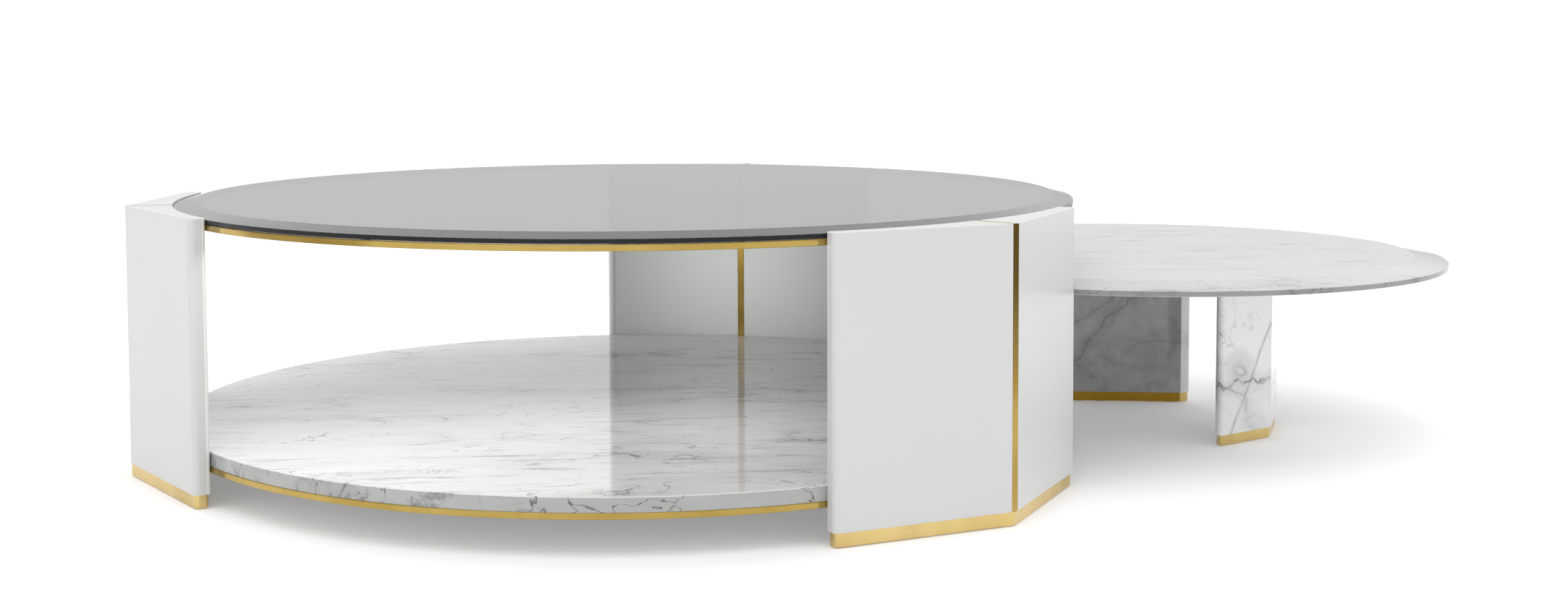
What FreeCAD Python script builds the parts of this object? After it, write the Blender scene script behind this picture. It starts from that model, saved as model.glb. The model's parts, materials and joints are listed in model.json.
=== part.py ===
import FreeCAD, Part
import math
import os
import Sketcher
from FreeCAD import Placement, Rotation, Vector

# A pair of nesting tables, in millimetres. +Z is up and the floor is z = 0.
# The large table has a round smoked-glass top on a brass ring, three folded lacquered legs with
# a brass inlay and a brass foot, and a round marble shelf near the floor. The small table is all
# marble with brass feet, and its top slides in between the shelf and the glass.
# Each leg is drawn in its own frame: the table's axis is the origin and +X runs out to the fold.

sizes = {
    # large table, top
    "glass_top_height": 384.0,     # floor to the upper face of the glass
    "glass_radius": 650.0,
    "glass_thickness": 12.0,
    "glass_bevel_width": 27.0,
    "glass_bevel_depth": 6.5,
    "bumper_radius": 6.0,
    "bumper_thickness": 1.0,
    "ring_height": 8.0,
    "ring_width": 26.0,
    # large table, legs
    "leg_gap": 0.5,                # between a leg's inner face and the discs that it holds
    "glass_rise": 4.0,             # the glass stands this much above the legs
    "leg_depth": 65.5,             # inner face to the fold
    "leg_end_thickness": 24.48,    # inner face to the outer corner of a wing end
    "leg_half_angle": 21.1,        # fold to wing end, seen from the table axis
    "nose_radius": 8.5,
    "top_round": 2.0,
    "inlay_thickness": 11.0,
    "inlay_proud": 0.5,
    "foot_height": 19.0,
    "foot_inset": 3.0,
    "glide_radius": 8.0,
    "glide_height": 1.5,
    # large table, shelf
    "shelf_top_height": 73.0,      # floor to the upper face of the marble shelf
    "shelf_thickness": 19.0,
    "shelf_inset": 1.0,            # marble edge inside the brass band
    "band_height": 8.0,
    "band_width": 12.0,
    "board_gap": 0.5,
    "bay_clearance": 24.0,         # shelf bay to the small table's inner leg
    "horn_radius": 24.0,           # rounding where the bay meets the shelf's rim
    "edge_round": 1.5,
    # fixings
    "rod_radius": 4.0,
    "rod_reach": 30.0,             # how far a tie rod goes into each leg half
    "pin_radius": 3.0,
    "pin_length": 30.0,
    "pin_depth": 20.0,             # part of a pin that sits in the leg
    "dowel_radius": 5.0,
    "dowel_length": 38.0,
    "dowel_depth": 9.0,            # part of a dowel that sits in the small top
    "screw_radius": 2.5,
    "screw_length": 40.0,
    "head_radius": 4.5,
    "head_height": 4.0,
    "fit_gap": 0.15,               # radial play of every pin, rod, dowel and screw
    # small table
    "small_top_height": 276.0,
    "small_top_radius": 467.0,
    "small_top_thickness": 17.0,
    "small_bevel_width": 50.0,
    "small_bevel_depth": 9.0,
    "small_fold_radius": 225.0,
    "small_face_angle": 17.0,
    "small_half_angle": 31.0,      # fold to the outer corner of a wing end
    "small_inner_angle": 27.5,     # fold to its inner corner, so the end is cut back
    "small_end_thickness": 25.0,   # outer corner to inner corner, measured towards the table axis
    "small_nose_radius": 6.0,
    "small_foot_height": 16.5,
    "small_foot_inset": 2.0,
    "small_fixing_inset": 14.0,    # inner face to the line of dowels, screws and glides
    # where the small table stands
    "nest_clearance": 12.73,       # small top's rim to the front leg's wing end
    "nest_azimuth": 9.4,           # direction from the large table's axis to the small one's
}

large_legs = {"front_leg": -48.2, "back_leg": 71.8, "left_leg": 191.8}
small_legs = {"small_right_leg": -39.5, "small_back_leg": 80.5, "small_inner_leg": 200.5}
rod_levels = (0.15, 0.5, 0.85)     # tie rods, as shares of a leg's height
pin_angles = (-10.0, 10.0)
screw_angles = (-16.0, -5.0, 5.0, 16.0)
glide_angles = (-18.0, -10.5, 10.5, 18.0)
small_screw_offsets = (-60.0, -22.0, 22.0, 60.0)
small_glide_offsets = (-74.0, -42.0, 42.0, 74.0)
dowel_offsets = (-45.0, 45.0)
bumper_count = 12


def at_angle(radius, degrees):
    """Point at this radius and angle in the XY plane."""
    turn = math.radians(degrees)
    return Vector(radius * math.cos(turn), radius * math.sin(turn), 0)


def wing_end(fold, face_angle, half_angle, inset):
    """Outer corner of a wing end: the outer face meets the radial end face, both moved in by inset."""
    face = math.radians(face_angle)
    half = math.radians(half_angle)
    moved_fold = fold - inset / math.cos(face)
    along = (moved_fold * math.cos(face) - inset * math.sin(half - face)) / math.cos(half - face)
    return Vector(inset * math.sin(half) + along * math.cos(half),
                  along * math.sin(half) - inset * math.cos(half), 0)


def end_at_radius(radius, half_angle, inset):
    """Inner corner of a wing end: the end face, moved in by inset, meets a circle about the axis."""
    half = math.radians(half_angle)
    along = math.sqrt(radius ** 2 - inset ** 2)
    return Vector(inset * math.sin(half) + along * math.cos(half),
                  along * math.sin(half) - inset * math.cos(half), 0)


def moved_in(corners, inset):
    """Corners of a convex outline, anticlockwise, after every side has moved in by inset."""
    sides = []
    for start, end in zip(corners, corners[1:] + corners[:1]):
        along = (end - start).normalize()
        sides.append((start + Vector(-along.y, along.x, 0) * inset, along))
    moved = []
    for (p, before), (q, after) in zip(sides[-1:] + sides[:-1], sides):
        share = (q - p).cross(after).z / before.cross(after).z
        moved.append(p + before * share)
    return moved


def add_derived_sizes(values):
    """Heights, radii and corner points that follow from the driving sizes."""
    v = values
    v["glass_bottom"] = v["glass_top_height"] - v["glass_thickness"]
    v["glass_edge"] = v["glass_thickness"] - v["glass_bevel_depth"]
    v["bevel_inner_radius"] = v["glass_radius"] - v["glass_bevel_width"]
    v["ring_inner_radius"] = v["glass_radius"] - v["ring_width"]
    v["ring_bottom"] = v["glass_bottom"] - v["bumper_thickness"] - v["ring_height"]
    v["leg_inner_radius"] = v["glass_radius"] + v["leg_gap"]
    v["leg_top"] = v["glass_top_height"] - v["glass_rise"]
    v["leg_height"] = v["leg_top"] - v["foot_height"]
    v["inlay_half"] = v["inlay_thickness"] / 2
    v["fold_radius"] = v["leg_inner_radius"] + v["leg_depth"]
    outer_end = at_angle(v["leg_inner_radius"] + v["leg_end_thickness"], v["leg_half_angle"])
    slope = (v["fold_radius"] - outer_end.x) / outer_end.y
    v["face_angle"] = math.degrees(math.atan(slope))     # an outer face leans back by this much
    v["panel_fold_x"] = v["fold_radius"] - v["inlay_half"] * slope
    v["inlay_outer_x"] = v["panel_fold_x"] + v["inlay_proud"]
    v["foot_solid_height"] = v["foot_height"] - v["glide_height"]
    v["foot_inner_radius"] = v["leg_inner_radius"] + v["foot_inset"]
    v["foot_fold_x"] = v["fold_radius"] - v["foot_inset"] / math.cos(math.radians(v["face_angle"]))
    for name, inset, inner in (("leg", 0.0, v["leg_inner_radius"]),
                               ("foot", v["foot_inset"], v["foot_inner_radius"])):
        outer_corner = wing_end(v["fold_radius"], v["face_angle"], v["leg_half_angle"], inset)
        inner_corner = end_at_radius(inner, v["leg_half_angle"], inset)
        v[name + "_end_x"], v[name + "_end_y"] = outer_corner.x, outer_corner.y
        v[name + "_inner_end_x"], v[name + "_inner_end_y"] = inner_corner.x, inner_corner.y
    v["foot_nose_radius"] = v["nose_radius"] - v["foot_inset"]

    # the small table's axis lies on the nest direction, its rim clear of the front leg's wing end
    wing = at_angle(v["leg_inner_radius"], large_legs["front_leg"] + v["leg_half_angle"] - v["nest_azimuth"])
    reach = v["small_top_radius"] + v["nest_clearance"]
    v["nest_distance"] = wing.x + math.sqrt(reach ** 2 - wing.y ** 2)

    v["shelf_bottom"] = v["shelf_top_height"] - v["shelf_thickness"]
    v["band_bottom"] = v["shelf_bottom"] - v["band_height"]
    v["marble_radius"] = v["glass_radius"] - v["shelf_inset"]
    v["bay_radius"] = v["small_fold_radius"] + v["bay_clearance"]
    v["marble_bay_radius"] = v["bay_radius"] + v["shelf_inset"]
    v["band_inner_radius"] = v["glass_radius"] - v["band_width"]
    v["band_inner_bay"] = v["bay_radius"] + v["band_width"]
    v["band_inner_horn"] = v["horn_radius"] - v["band_width"] + v["shelf_inset"]
    v["board_radius"] = v["band_inner_radius"] - v["board_gap"]
    v["board_bay"] = v["band_inner_bay"] + v["board_gap"]

    v["small_bevel_inner"] = v["small_top_radius"] - v["small_bevel_width"]
    v["small_edge"] = v["small_top_thickness"] - v["small_bevel_depth"]
    v["small_top_bottom"] = v["small_top_height"] - v["small_top_thickness"]
    v["small_leg_height"] = v["small_top_bottom"] - v["small_foot_height"]
    v["small_foot_solid_height"] = v["small_foot_height"] - v["glide_height"]
    outer_corner = wing_end(v["small_fold_radius"], v["small_face_angle"], v["small_half_angle"], 0.0)
    inner_corner = at_angle(outer_corner.Length - v["small_end_thickness"], v["small_inner_angle"])
    outline = [Vector(inner_corner.x, -inner_corner.y, 0), Vector(outer_corner.x, -outer_corner.y, 0),
               Vector(v["small_fold_radius"], 0, 0), outer_corner, inner_corner]
    for name, inset in (("small_leg", 0.0), ("small_foot", v["small_foot_inset"])):
        moved = moved_in(outline, inset)
        v[name + "_fold_x"] = moved[2].x
        v[name + "_end_x"], v[name + "_end_y"] = moved[3].x, moved[3].y
        v[name + "_inner_x"], v[name + "_inner_y"] = moved[4].x, moved[4].y
    v["small_foot_nose"] = v["small_nose_radius"] - v["small_foot_inset"]

    v["rod_length"] = 2 * v["rod_reach"] + v["inlay_thickness"]
    for fixing in ("rod", "pin", "dowel", "screw", "head"):
        v[fixing + "_bore"] = v[fixing + "_radius"] + v["fit_gap"]
    v["shank_length"] = v["screw_length"] - v["head_height"]
    return v


def frame_offset(v):
    """Large table's axis in the part's frame, whose origin is the middle of the set's footprint."""
    small_axis = at_angle(v["nest_distance"], v["nest_azimuth"])
    reach = [Vector(v["glass_radius"] * x, v["glass_radius"] * y, 0)
             for x, y in ((1, 0), (-1, 0), (0, 1), (0, -1))]
    reach += [small_axis + Vector(v["small_top_radius"] * x, v["small_top_radius"] * y, 0)
              for x, y in ((1, 0), (-1, 0), (0, 1), (0, -1))]
    for azimuth in large_legs.values():
        turn = Rotation(Vector(0, 0, 1), azimuth)
        for side in (-1, 1):
            reach.append(turn.multVec(Vector(v["inlay_outer_x"], side * v["inlay_half"], 0)))
    return Vector(-(max(p.x for p in reach) + min(p.x for p in reach)) / 2,
                  -(max(p.y for p in reach) + min(p.y for p in reach)) / 2, 0)


size = add_derived_sizes(sizes)
large_axis = frame_offset(size)
small_axis = large_axis + at_angle(size["nest_distance"], size["nest_azimuth"])

doc = FreeCAD.newDocument("nesting_tables")
sheet = doc.addObject("Spreadsheet::Sheet", "Sizes")
for row, (alias, number) in enumerate(size.items(), start=1):
    sheet.set("A%d" % row, alias)
    sheet.set("B%d" % row, repr(float(number)))
    sheet.setAlias("B%d" % row, alias)
doc.recompute()

sub_parts = []


def bind(thing, prop, formula):
    """Tie a property to the sheet; every word in the formula that is an alias is looked up there."""
    words = formula.split()
    thing.setExpression(prop, " ".join("Sizes." + w if w in size else w for w in words))


def keep(thing, label):
    """Register a finished sub-part under its node name."""
    thing.Label = label
    sub_parts.append(thing)
    return thing


def leg_frame(axis, azimuth, height):
    """Placement of a piece drawn in a leg's own frame."""
    return Placement(Vector(axis.x, axis.y, height), Rotation(Vector(0, 0, 1), azimuth))


def new_body(name, place):
    body = doc.addObject("PartDesign::Body", name)
    body.Placement = place
    return body


def new_sketch(body, name, role):
    plane = [o for o in body.Origin.OriginFeatures if o.Role == role][0]
    sketch = body.newObject("Sketcher::SketchObject", name)
    sketch.AttachmentSupport = [(plane, "")]
    sketch.MapMode = "FlatFace"
    return sketch


def pin_point(sketch, geometry, end, formulas):
    """Tie a point's X and Y to the sheet; None leaves that direction to another constraint."""
    for kind, formula in zip(("DistanceX", "DistanceY"), formulas):
        if formula is None:
            continue
        if formula == "0":
            axis = -2 if kind == "DistanceX" else -1
            sketch.addConstraint(Sketcher.Constraint("PointOnObject", geometry, end, axis))
            continue
        point = sketch.getPoint(geometry, end)
        now = point.x if kind == "DistanceX" else point.y
        index = sketch.addConstraint(Sketcher.Constraint(kind, -1, 1, geometry, end, now))
        bind(sketch, "Constraints[%d]" % index, formula)


def number_of(formula):
    """Value of a formula of aliases, numbers and + - signs."""
    total, sign = 0.0, 1.0
    for word in formula.split():
        if word in "+-":
            sign = 1.0 if word == "+" else -1.0
        else:
            total += sign * (size[word] if word in size else float(word))
            sign = 1.0
    return total


def draw_profile(sketch, corners):
    """Closed outline of straight lines through corners given as pairs of formulas."""
    points = [Vector(number_of(x), number_of(y), 0) for x, y in corners]
    count = len(points)
    for i in range(count):
        sketch.addGeometry(Part.LineSegment(points[i], points[(i + 1) % count]), False)
    for i in range(count):
        sketch.addConstraint(Sketcher.Constraint("Coincident", i, 2, (i + 1) % count, 1))
    for i, formulas in enumerate(corners):
        pin_point(sketch, i, 1, formulas)


def draw_circle(sketch, radius, centre_x="0"):
    index = sketch.addGeometry(Part.Circle(Vector(number_of(centre_x), 0, 0), Vector(0, 0, 1),
                                           number_of(radius)), False)
    pin_point(sketch, index, 3, (centre_x, "0"))
    ring = sketch.addConstraint(Sketcher.Constraint("Radius", index, number_of(radius)))
    bind(sketch, "Constraints[%d]" % ring, radius)


def pad(body, sketch, height):
    feature = body.newObject("PartDesign::Pad", body.Name + "_pad")
    feature.Profile = sketch
    bind(feature, "Length", height)
    doc.recompute()
    return feature


def revolve(body, sketch):
    feature = body.newObject("PartDesign::Revolution", body.Name + "_turned")
    feature.Profile = sketch
    feature.ReferenceAxis = (sketch, ["V_Axis"])
    feature.Angle = 360
    doc.recompute()
    return feature


def round_edges(body, base, radius, wanted):
    """Fillet of every edge of the base feature that the wanted test picks."""
    names = ["Edge%d" % (i + 1) for i, edge in enumerate(base.Shape.Edges) if wanted(edge)]
    if not names:
        raise RuntimeError("no edge to round on " + body.Name)
    feature = body.newObject("PartDesign::Fillet", body.Name + "_round")
    feature.Base = (base, names)
    bind(feature, "Radius", radius)
    doc.recompute()
    return feature


def is_upright_at(points):
    """Test for an upright straight edge that stands over one of these points."""
    def test(edge):
        box = edge.BoundBox
        if box.ZLength < 1.0 or box.XLength > 0.01 or box.YLength > 0.01:
            return False
        return any(math.hypot(box.Center.x - p.x, box.Center.y - p.y) < 0.1 for p in points)
    return test


def rod(name, radius, length, place):
    """Round bar along its own +Z."""
    bar = doc.addObject("Part::Cylinder", name)
    bind(bar, "Radius", radius)
    bind(bar, "Height", length)
    bar.Placement = place
    return bar


def group(name, members):
    """Identical separate solids kept as one node."""
    bundle = doc.addObject("Part::Compound", name)
    bundle.Links = members
    doc.recompute()
    return bundle


def cut_holes(name, base, tools):
    cut = doc.addObject("Part::Cut", name + "_drilled")
    cut.Base = base
    cut.Tool = group(name + "_holes", tools)
    doc.recompute()
    if cut.Shape.Volume >= base.Shape.Volume:
        raise RuntimeError("holes missed " + name)
    return cut


# ---- large table: glass, ring and shelf

def make_glass():
    """Disc with a wide shallow bevel round its upper face."""
    body = new_body("glass", Placement(large_axis + Vector(0, 0, size["glass_bottom"]), Rotation()))
    sketch = new_sketch(body, "glass_section", "XZ_Plane")
    draw_profile(sketch, [("0", "0"), ("glass_radius", "0"), ("glass_radius", "glass_edge"),
                          ("bevel_inner_radius", "glass_thickness"), ("0", "glass_thickness")])
    revolve(body, sketch)
    keep(body, "glass_top")


def make_bumpers():
    """Clear pads that carry the glass on the ring."""
    middle = size["glass_radius"] - size["ring_width"] / 2
    pads = []
    for i in range(bumper_count):
        spot = large_axis + at_angle(middle, 360.0 / bumper_count * i)
        spot.z = size["glass_bottom"] - size["bumper_thickness"]
        pads.append(rod("bumper", "bumper_radius", "bumper_thickness", Placement(spot, Rotation())))
    keep(group("bumpers", pads), "glass_bumpers")


def radial_pins(name, height, radius, length):
    """Pins through the legs' inner faces at one height, two for each leg."""
    start = size["leg_inner_radius"] + size["pin_depth"] - size["pin_length"]
    pins = []
    for azimuth in large_legs.values():
        for angle in pin_angles:
            spot = large_axis + at_angle(start, azimuth + angle)
            spot.z = height
            turn = Rotation(Vector(0, 0, 1), azimuth + angle).multiply(Rotation(Vector(0, 1, 0), 90))
            pins.append(rod(name, radius, length, Placement(spot, turn)))
    return pins


def make_ring():
    """Flat brass ring under the glass, drilled from its rim for the pins."""
    body = new_body("ring", Placement(large_axis + Vector(0, 0, size["ring_bottom"]), Rotation()))
    sketch = new_sketch(body, "ring_section", "XZ_Plane")
    draw_profile(sketch, [("ring_inner_radius", "0"), ("glass_radius", "0"),
                          ("glass_radius", "ring_height"), ("ring_inner_radius", "ring_height")])
    revolve(body, sketch)
    middle = size["ring_bottom"] + size["ring_height"] / 2
    keep(cut_holes("ring", body, radial_pins("ring_bore", middle, "pin_bore", "pin_length")), "top_ring")
    keep(group("ring_pins", radial_pins("ring_pin", middle, "pin_radius", "pin_length")), "top_ring_pins")


def disc_with_bay(name, height, radius, bay, thickness, horn):
    """Disc with a round bay in its rim, centred on the small table's axis, and rounded horns."""
    body = new_body(name, leg_frame(large_axis, size["nest_azimuth"], height))
    disc_sketch = new_sketch(body, name + "_rim", "XY_Plane")
    draw_circle(disc_sketch, radius)
    disc = pad(body, disc_sketch, thickness)
    bay_sketch = new_sketch(body, name + "_bay", "XY_Plane")
    draw_circle(bay_sketch, bay, "nest_distance")
    pocket = body.newObject("PartDesign::Pocket", name + "_pocket")
    pocket.Profile = bay_sketch
    pocket.Reversed = True
    bind(pocket, "Length", thickness)
    doc.recompute()
    if pocket.Shape.Volume >= disc.Shape.Volume:
        raise RuntimeError("the bay missed " + name)
    across, opening, span = number_of(radius), number_of(bay), size["nest_distance"]
    horn_x = (span ** 2 + across ** 2 - opening ** 2) / (2 * span)
    horn_y = math.sqrt(across ** 2 - horn_x ** 2)
    horns = [Vector(horn_x, horn_y, 0), Vector(horn_x, -horn_y, 0)]
    return body, round_edges(body, pocket, horn, is_upright_at(horns))


def make_shelf():
    """Marble disc on a thin board, with a brass band round the board."""
    marble, horned = disc_with_bay("shelf", size["shelf_bottom"], "marble_radius", "marble_bay_radius",
                                   "shelf_thickness", "horn_radius")
    level = size["shelf_thickness"]
    round_edges(marble, horned, "edge_round",
                lambda edge: edge.BoundBox.ZMin > level - 0.01 and edge.Length > 1.0)
    keep(marble, "marble_shelf")

    outer, _ = disc_with_bay("band_outer", size["band_bottom"], "glass_radius", "bay_radius",
                             "band_height", "horn_radius")
    inner, _ = disc_with_bay("band_inner", size["band_bottom"], "band_inner_radius", "band_inner_bay",
                             "band_height", "band_inner_horn")
    band = doc.addObject("Part::Cut", "band")
    band.Base, band.Tool = outer, inner
    doc.recompute()
    board, _ = disc_with_bay("board", size["band_bottom"], "board_radius", "board_bay",
                             "band_height", "band_inner_horn")
    middle = size["band_bottom"] + size["band_height"] / 2
    keep(cut_holes("band", band, radial_pins("band_bore", middle, "pin_bore", "pin_length")), "shelf_band")
    keep(board, "shelf_board")
    keep(group("shelf_pins", radial_pins("shelf_pin", middle, "pin_radius", "pin_length")), "shelf_pins")


# ---- large table: legs

def tie_rods(name, azimuth, radius, length):
    """Bars across a leg, square to its inlay, that clamp the two halves together."""
    middle = (size["leg_inner_radius"] + size["panel_fold_x"]) / 2
    frame = leg_frame(large_axis, azimuth, size["foot_height"])
    lying = Rotation(Vector(1, 0, 0), -90)
    bars = []
    for share in rod_levels:
        start = Vector(middle, -number_of(length) / 2, share * size["leg_height"])
        bars.append(rod(name, radius, length, frame.multiply(Placement(start, lying))))
    return bars


def mid_of_leg(angle):
    """Radius half way between a leg's inner face and its outer face, at an angle from the fold."""
    face = math.radians(size["face_angle"])
    outer = size["fold_radius"] * math.cos(face) / math.cos(math.radians(abs(angle)) - face)
    return (size["leg_inner_radius"] + outer) / 2


def upright_bars(name, axis, azimuth, spots, base, radius, length):
    """Upright round bars at spots in a leg's frame."""
    frame = leg_frame(axis, azimuth, base)
    return [rod(name, radius, length, frame.multiply(Placement(spot, Rotation()))) for spot in spots]


def foot_screws(name, axis, azimuth, spots):
    """Screws that hold a foot, with their heads sunk in its underside."""
    heads = upright_bars(name + "_head", axis, azimuth, spots, size["glide_height"],
                         "head_radius", "head_height")
    shanks = upright_bars(name + "_shank", axis, azimuth, spots,
                          size["glide_height"] + size["head_height"], "screw_radius", "shank_length")
    screws = []
    for head, shank in zip(heads, shanks):
        screw = doc.addObject("Part::Fuse", name)
        screw.Base, screw.Tool = head, shank
        screws.append(screw)
    return group(name + "s", screws)


def screw_holes(name, axis, azimuth, spots):
    """Clearance for the foot screws, shanks and heads."""
    heads = upright_bars(name + "_sink", axis, azimuth, spots, size["glide_height"],
                         "head_bore", "head_height")
    shanks = upright_bars(name + "_bore", axis, azimuth, spots, size["glide_height"],
                          "screw_bore", "screw_length")
    return heads + shanks


def make_panel(name, azimuth, side):
    """One lacquered half of a leg: inner arc, flat beside the inlay, flat outer face, round nose."""
    body = new_body(name, leg_frame(large_axis, azimuth, size["foot_height"]))
    sketch = new_sketch(body, name + "_outline", "XY_Plane")
    sign = "- " if side < 0 else ""
    inlay_y = side * size["inlay_half"]
    inner_start = Vector(math.sqrt(size["leg_inner_radius"] ** 2 - inlay_y ** 2), inlay_y, 0)
    fold = Vector(size["panel_fold_x"], inlay_y, 0)
    end = Vector(size["leg_end_x"], side * size["leg_end_y"], 0)
    inner_end = Vector(size["leg_inner_end_x"], side * size["leg_inner_end_y"], 0)
    sketch.addGeometry([Part.LineSegment(inner_start, fold), Part.LineSegment(fold, end),
                        Part.LineSegment(end, inner_end)], False)
    angles = sorted(math.atan2(p.y, p.x) for p in (inner_start, inner_end))
    circle = Part.Circle(Vector(0, 0, 0), Vector(0, 0, 1), size["leg_inner_radius"])
    arc = sketch.addGeometry(Part.ArcOfCircle(circle, angles[0], angles[1]), False)
    arc_start, arc_end = (1, 2) if side > 0 else (2, 1)
    for first, first_end, second, second_end in ((0, 2, 1, 1), (1, 2, 2, 1), (2, 2, arc, arc_end),
                                                 (0, 1, arc, arc_start)):
        sketch.addConstraint(Sketcher.Constraint("Coincident", first, first_end, second, second_end))
    sketch.addConstraint(Sketcher.Constraint("Coincident", arc, 3, -1, 1))
    index = sketch.addConstraint(Sketcher.Constraint("Radius", arc, size["leg_inner_radius"]))
    bind(sketch, "Constraints[%d]" % index, "leg_inner_radius")
    pin_point(sketch, 0, 1, (None, sign + "inlay_half"))
    pin_point(sketch, 1, 1, ("panel_fold_x", sign + "inlay_half"))
    pin_point(sketch, 2, 1, ("leg_end_x", sign + "leg_end_y"))
    pin_point(sketch, 2, 2, (None, sign + "leg_inner_end_y"))
    blank = pad(body, sketch, "leg_height")
    nosed = round_edges(body, blank, "nose_radius", is_upright_at([end, inner_end]))
    round_edges(body, nosed, "top_round",
                lambda edge: (edge.BoundBox.ZMin > size["leg_height"] - 0.01
                              and abs(edge.BoundBox.Center.y - inlay_y) > 0.5))
    return body


def make_inlay(name, azimuth):
    """Brass plate through the fold of a leg, seen outside, on top and on the inner face."""
    body = new_body(name, leg_frame(large_axis, azimuth, size["foot_height"]))
    sketch = new_sketch(body, name + "_outline", "XY_Plane")
    draw_profile(sketch, [("leg_inner_radius", "- inlay_half"), ("inlay_outer_x", "- inlay_half"),
                          ("inlay_outer_x", "inlay_half"), ("leg_inner_radius", "inlay_half")])
    plate = pad(body, sketch, "leg_height")
    round_edges(body, plate, "top_round",
                lambda edge: (edge.BoundBox.ZMin > size["leg_height"] - 0.01
                              and edge.BoundBox.XLength < 0.01))
    return body


def make_foot(name, azimuth):
    """Brass plinth with the leg's outline, set in a little all round."""
    body = new_body(name, leg_frame(large_axis, azimuth, size["glide_height"]))
    sketch = new_sketch(body, name + "_outline", "XY_Plane")
    fold = Vector(size["foot_fold_x"], 0, 0)
    ends = [Vector(size["foot_end_x"], s * size["foot_end_y"], 0) for s in (-1, 1)]
    inner_ends = [Vector(size["foot_inner_end_x"], s * size["foot_inner_end_y"], 0) for s in (-1, 1)]
    sketch.addGeometry([Part.LineSegment(inner_ends[0], ends[0]), Part.LineSegment(ends[0], fold),
                        Part.LineSegment(fold, ends[1]), Part.LineSegment(ends[1], inner_ends[1])], False)
    half = math.atan2(size["foot_inner_end_y"], size["foot_inner_end_x"])
    circle = Part.Circle(Vector(0, 0, 0), Vector(0, 0, 1), size["foot_inner_radius"])
    arc = sketch.addGeometry(Part.ArcOfCircle(circle, -half, half), False)
    for i in range(3):
        sketch.addConstraint(Sketcher.Constraint("Coincident", i, 2, i + 1, 1))
    sketch.addConstraint(Sketcher.Constraint("Coincident", 3, 2, arc, 2))
    sketch.addConstraint(Sketcher.Constraint("Coincident", 0, 1, arc, 1))
    sketch.addConstraint(Sketcher.Constraint("Coincident", arc, 3, -1, 1))
    index = sketch.addConstraint(Sketcher.Constraint("Radius", arc, size["foot_inner_radius"]))
    bind(sketch, "Constraints[%d]" % index, "foot_inner_radius")
    pin_point(sketch, 0, 1, (None, "- foot_inner_end_y"))
    pin_point(sketch, 1, 1, ("foot_end_x", "- foot_end_y"))
    pin_point(sketch, 2, 1, ("foot_fold_x", "0"))
    pin_point(sketch, 3, 1, ("foot_end_x", "foot_end_y"))
    pin_point(sketch, 3, 2, (None, "foot_inner_end_y"))
    blank = pad(body, sketch, "foot_solid_height")
    round_edges(body, blank, "foot_nose_radius", is_upright_at(ends + inner_ends))
    return body


def make_large_leg(name, azimuth):
    """Two lacquered halves on an inlay, tied by rods, on a screwed foot with glides."""
    screw_spots = [at_angle(mid_of_leg(angle), angle) for angle in screw_angles]
    glide_spots = [at_angle(mid_of_leg(angle), angle) for angle in glide_angles]
    ring_middle = size["ring_bottom"] + size["ring_height"] / 2
    band_middle = size["band_bottom"] + size["band_height"] / 2
    for side, half in ((1, "left_half"), (-1, "right_half")):
        panel = name + "_" + half
        blank = make_panel(panel + "_blank", azimuth, side)
        holes = tie_rods(panel + "_rod_bore", azimuth, "rod_bore", "rod_length")
        holes += radial_pins(panel + "_ring_bore", ring_middle, "pin_bore", "pin_length")
        holes += radial_pins(panel + "_band_bore", band_middle, "pin_bore", "pin_length")
        holes += screw_holes(panel + "_screw", large_axis, azimuth, screw_spots)
        keep(cut_holes(panel, blank, holes), panel)
    inlay = make_inlay(name + "_inlay_blank", azimuth)
    bores = tie_rods(name + "_inlay_bore", azimuth, "rod_bore", "rod_length")
    keep(cut_holes(name + "_inlay", inlay, bores), name + "_inlay")
    keep(group(name + "_rods", tie_rods(name + "_rod", azimuth, "rod_radius", "rod_length")),
         name + "_tie_rods")
    foot = make_foot(name + "_foot_blank", azimuth)
    holes = screw_holes(name + "_foot_screw", large_axis, azimuth, screw_spots)
    keep(cut_holes(name + "_foot", foot, holes), name + "_foot")
    keep(foot_screws(name + "_screw", large_axis, azimuth, screw_spots), name + "_foot_screws")
    glides = upright_bars(name + "_glide", large_axis, azimuth, glide_spots, 0.0,
                          "glide_radius", "glide_height")
    keep(group(name + "_glide_group", glides), name + "_glides")


# ---- small table

def make_small_top(dowel_spots):
    """Marble disc with a wide bevel, blind-drilled from below for the dowels."""
    place = Placement(small_axis + Vector(0, 0, size["small_top_bottom"]), Rotation())
    body = new_body("small_disc", place)
    sketch = new_sketch(body, "small_disc_section", "XZ_Plane")
    draw_profile(sketch, [("0", "0"), ("small_top_radius", "0"), ("small_top_radius", "small_edge"),
                          ("small_bevel_inner", "small_top_thickness"), ("0", "small_top_thickness")])
    turned = revolve(body, sketch)
    round_edges(body, turned, "edge_round",
                lambda edge: abs(edge.BoundBox.XLength - 2 * size["small_top_radius"]) < 0.01)
    holes = []
    for name, azimuth in small_legs.items():
        holes += small_dowels(name + "_top_bore", azimuth, dowel_spots, "dowel_bore")
    keep(cut_holes("small_disc", body, holes), "small_top")


def small_dowels(name, azimuth, spots, radius):
    base = size["small_top_bottom"] + size["dowel_depth"] - size["dowel_length"]
    return upright_bars(name, small_axis, azimuth, spots, base, radius, "dowel_length")


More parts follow.
